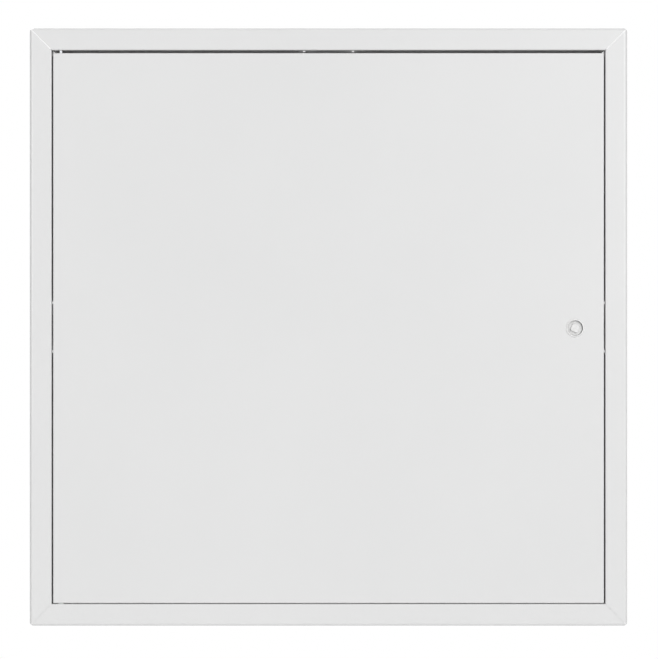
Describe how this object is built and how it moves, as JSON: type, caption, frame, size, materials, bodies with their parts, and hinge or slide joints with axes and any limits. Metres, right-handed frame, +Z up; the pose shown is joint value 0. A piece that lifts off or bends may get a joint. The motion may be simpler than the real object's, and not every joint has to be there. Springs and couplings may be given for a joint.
{
  "type": "ceiling access panel",
  "caption": "Square steel access panel: a folded flange frame with a flush hinged door, a sprung pivot, foam seals and a square drive cam lock.",
  "frame": {"origin": "centre of the hole in the wall or ceiling, in the plane of the wall's surface", "axes": "+X to the right and +Z up as the panel is seen from the front, +Y into the wall"},
  "size_m": [0.64, 0.0357, 0.64],
  "materials": {
    "powder_coat": "white satin powder coat on folded steel",
    "zinc_steel": "bright zinc plate",
    "nickel": "satin nickel plate on die-cast zinc",
    "nylon": "natural nylon",
    "foam": "grey closed-cell foam"
  },
  "bodies": {
    "frame": {"frame_top": "powder_coat", "frame_bottom": "powder_coat", "frame_left": "powder_coat", "frame_right": "powder_coat", "corner_angle_top_left": "powder_coat", "corner_angle_top_right": "powder_coat", "corner_angle_bottom_left": "powder_coat", "corner_angle_bottom_right": "powder_coat", "seal_top": "foam", "seal_bottom": "foam", "seal_left": "foam", "seal_right": "foam", "top_pivot_bush": "nylon", "bottom_pivot_pin": "zinc_steel", "bottom_pivot_washer": "nylon"},
    "door": {"door_pan": "powder_coat", "door_stiffener": "powder_coat", "top_hinge_bracket": "zinc_steel", "bottom_hinge_bracket": "zinc_steel", "lock_housing": "nickel", "lock_washer": "zinc_steel", "lock_nut": "zinc_steel", "pin_spring": "zinc_steel"},
    "lock": {"lock_barrel": "nickel", "lock_cam": "zinc_steel", "cam_washer": "zinc_steel", "cam_screw": "zinc_steel"},
    "top_pivot": {"top_pivot_pin": "zinc_steel", "pin_collar": "zinc_steel"}
  },
  "joints": [
    {"name": "door_hinge", "type": "hinge", "parent": "frame", "child": "door", "pos_m": [-0.2869, 0.0007, 0], "axis": [0, 0, -1], "range_deg": [0, 110]},
    {"name": "cam_turn", "type": "hinge", "parent": "door", "child": "lock", "pos_m": [0.264, 0, -0.0012], "axis": [0, -1, 0], "range_deg": [0, 90]},
    {"name": "pin_slide", "type": "slide", "parent": "door", "child": "top_pivot", "axis": [0, 0, -1], "range_m": [0, 0.007], "stiffness_N_per_m": 500, "springref_m": -0.008, "deforming": ["pin_spring"]}
  ]
}
